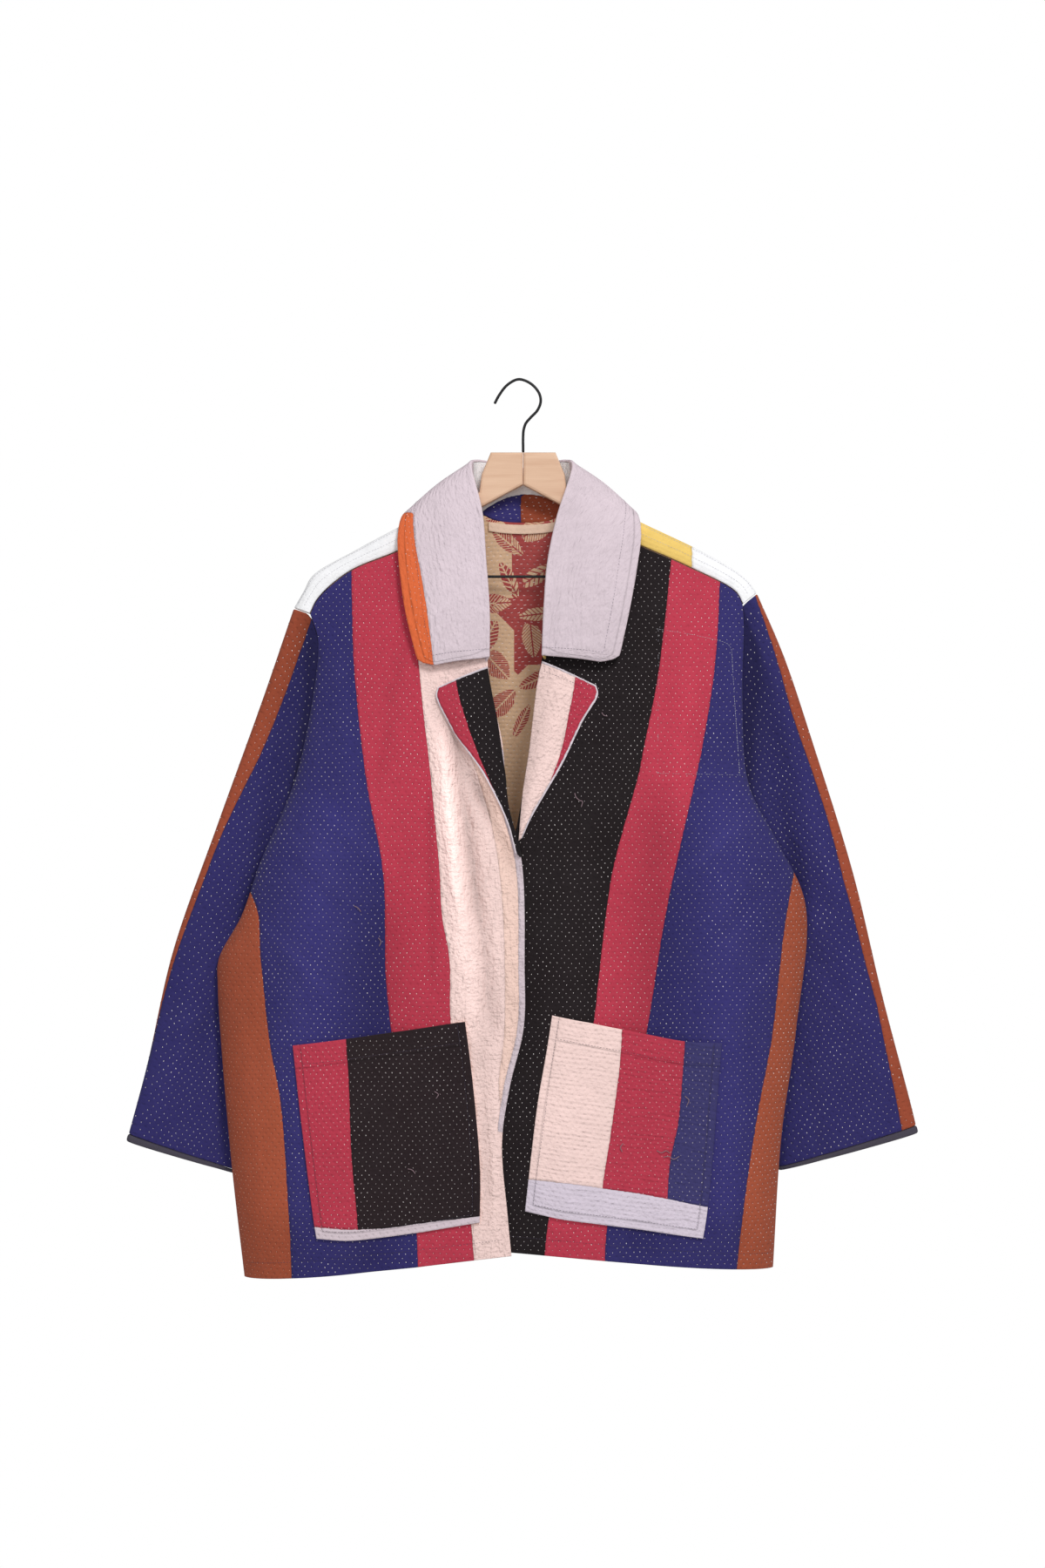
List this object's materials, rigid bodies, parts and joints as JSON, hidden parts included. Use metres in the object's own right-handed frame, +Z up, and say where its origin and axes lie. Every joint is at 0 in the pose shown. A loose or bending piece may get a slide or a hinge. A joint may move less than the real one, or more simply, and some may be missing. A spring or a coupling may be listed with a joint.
{
  "type": "quilted patchwork jacket on a hanger",
  "caption": "Open quilted patchwork jacket with a turned collar, lapels and patch pockets, hung on a wooden hanger with a wire hook and a trouser bar.",
  "frame": {"origin": "under the crown of the wire hook, where it rests on a peg", "axes": "+Z up, the front of the jacket faces -Y, +X to the wearer's left"},
  "size_m": [0.8578, 0.1057, 0.971],
  "materials": {
    "indigo_cloth": "washed cotton, running stitch",
    "raspberry_cloth": "washed cotton, running stitch",
    "black_cloth": "faded cotton, running stitch",
    "pink_cloth": "puckered cotton",
    "lilac_cloth": "puckered cotton",
    "white_cloth": "puckered cotton",
    "charcoal_binding": "plain folded cotton",
    "beige_tape": "plain cotton tape",
    "thread": "cotton thread",
    "wood": "sanded, clear lacquer",
    "black_wire": "satin black paint"
  },
  "bodies": {
    "root": {"front_right": "raspberry_cloth", "front_left": "black_cloth", "back": "indigo_cloth", "shoulder_strip_right": "white_cloth", "shoulder_strip_left": "white_cloth", "sleeve_right": "indigo_cloth", "sleeve_left": "indigo_cloth", "cuff_binding_right": "charcoal_binding", "cuff_binding_left": "charcoal_binding", "collar": "lilac_cloth", "neck_tape": "beige_tape", "lapel_right": "black_cloth", "lapel_left": "pink_cloth", "pocket_right": "black_cloth", "pocket_left": "pink_cloth", "hanger_arm_right": "wood", "hanger_arm_left": "wood", "hook": "black_wire", "trouser_bar": "black_wire"}
  },
  "joints": []
}
